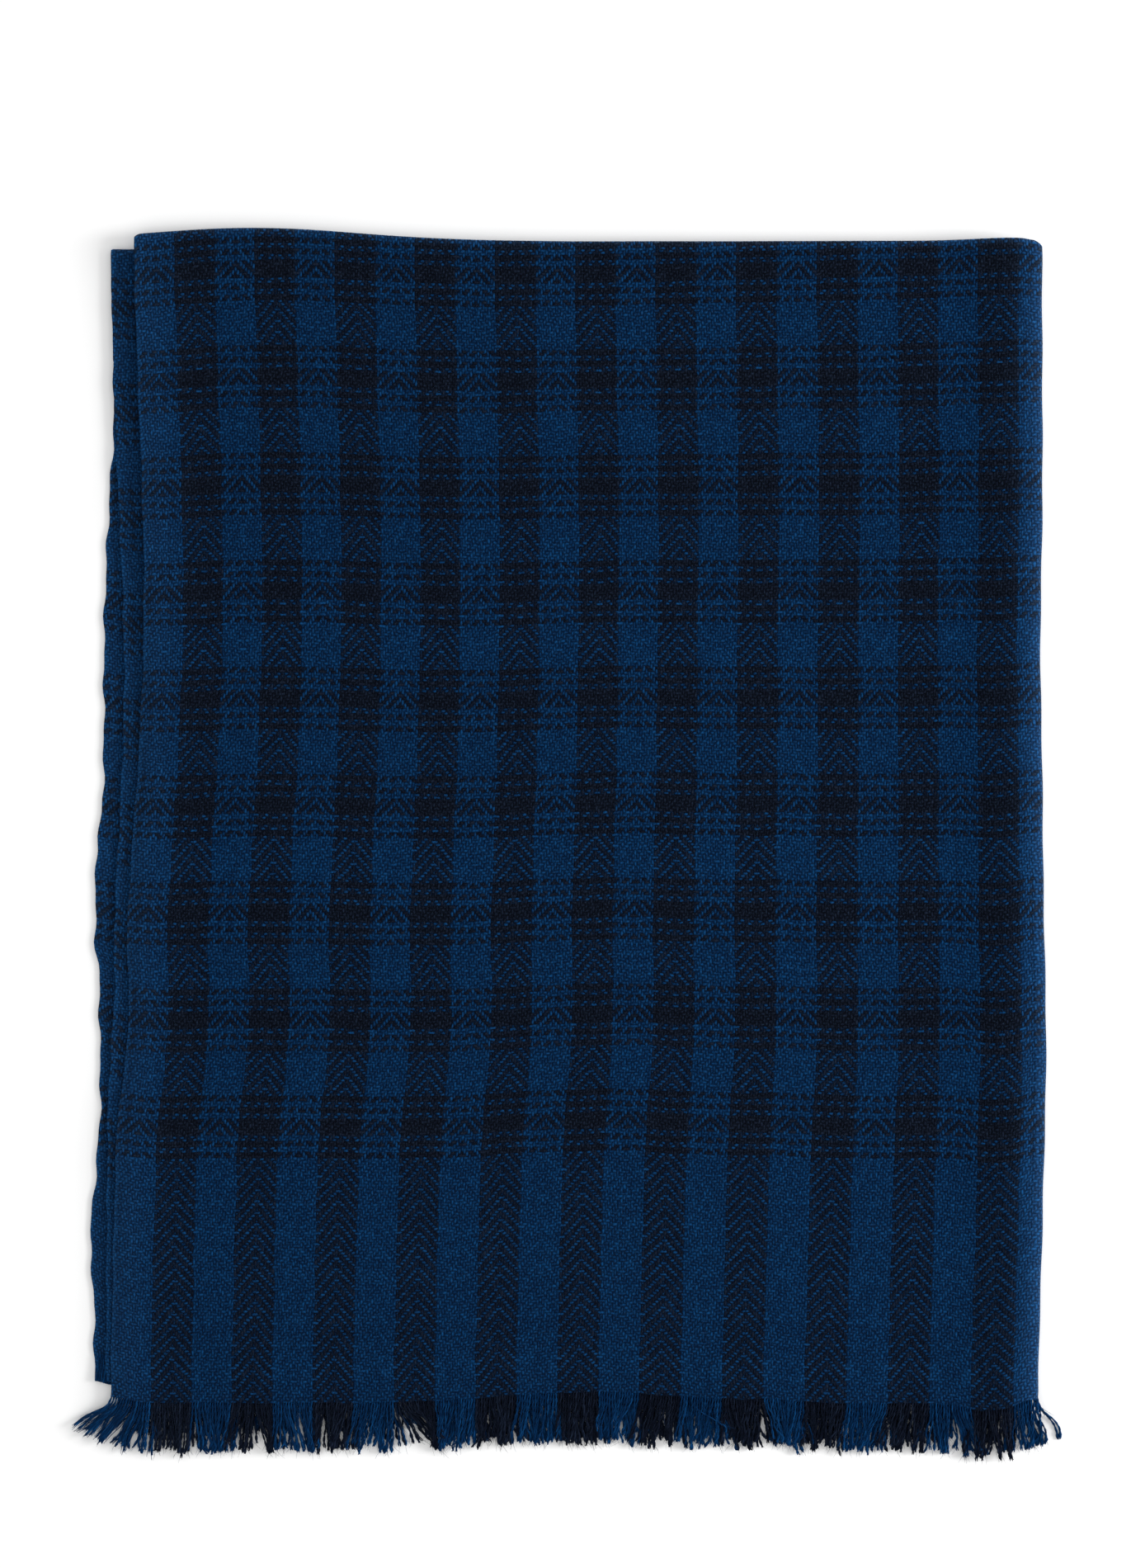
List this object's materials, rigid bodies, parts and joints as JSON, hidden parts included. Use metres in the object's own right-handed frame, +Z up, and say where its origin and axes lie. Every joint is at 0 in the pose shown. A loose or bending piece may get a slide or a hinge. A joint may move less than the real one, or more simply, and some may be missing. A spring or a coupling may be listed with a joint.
{
  "type": "folded throw blanket",
  "caption": "Fringed wool throw in a herringbone check, folded in half crosswise and then lengthwise, lying flat; its upper half opens like a book.",
  "frame": {"origin": "centre of the underside, on the surface that the throw lies on", "axes": "+X towards the lengthwise fold, +Y towards the crosswise fold and away from the fringe, +Z up through the folded layers"},
  "size_m": [0.66, 0.844, 0.014],
  "materials": {
    "check_cloth": "brushed woollen twill in a blue and navy check, matt",
    "blue_yarn": "plied blue woollen yarn, matt and slightly hairy",
    "navy_yarn": "plied navy woollen yarn, matt and slightly hairy"
  },
  "bodies": {
    "lower_half": {"third_layer": "check_cloth", "bottom_layer": "check_cloth", "lower_crosswise_fold": "check_cloth", "lower_outer_side_fold": "check_cloth", "lower_inner_side_fold": "check_cloth", "lower_corner_fold": "check_cloth", "third_fringe_blue": "blue_yarn", "third_fringe_navy": "navy_yarn", "bottom_fringe_blue": "blue_yarn", "bottom_fringe_navy": "navy_yarn"},
    "upper_half": {"top_layer": "check_cloth", "second_layer": "check_cloth", "upper_crosswise_fold": "check_cloth", "upper_outer_side_fold": "check_cloth", "upper_inner_side_fold": "check_cloth", "upper_corner_fold": "check_cloth", "top_fringe_blue": "blue_yarn", "top_fringe_navy": "navy_yarn", "second_fringe_blue": "blue_yarn", "second_fringe_navy": "navy_yarn"}
  },
  "joints": [
    {"name": "unfold", "type": "hinge", "parent": "lower_half", "child": "upper_half", "pos_m": [0.33, 0, 0.007], "axis": [0, 1, 0], "range_deg": [0, 179.9]}
  ]
}
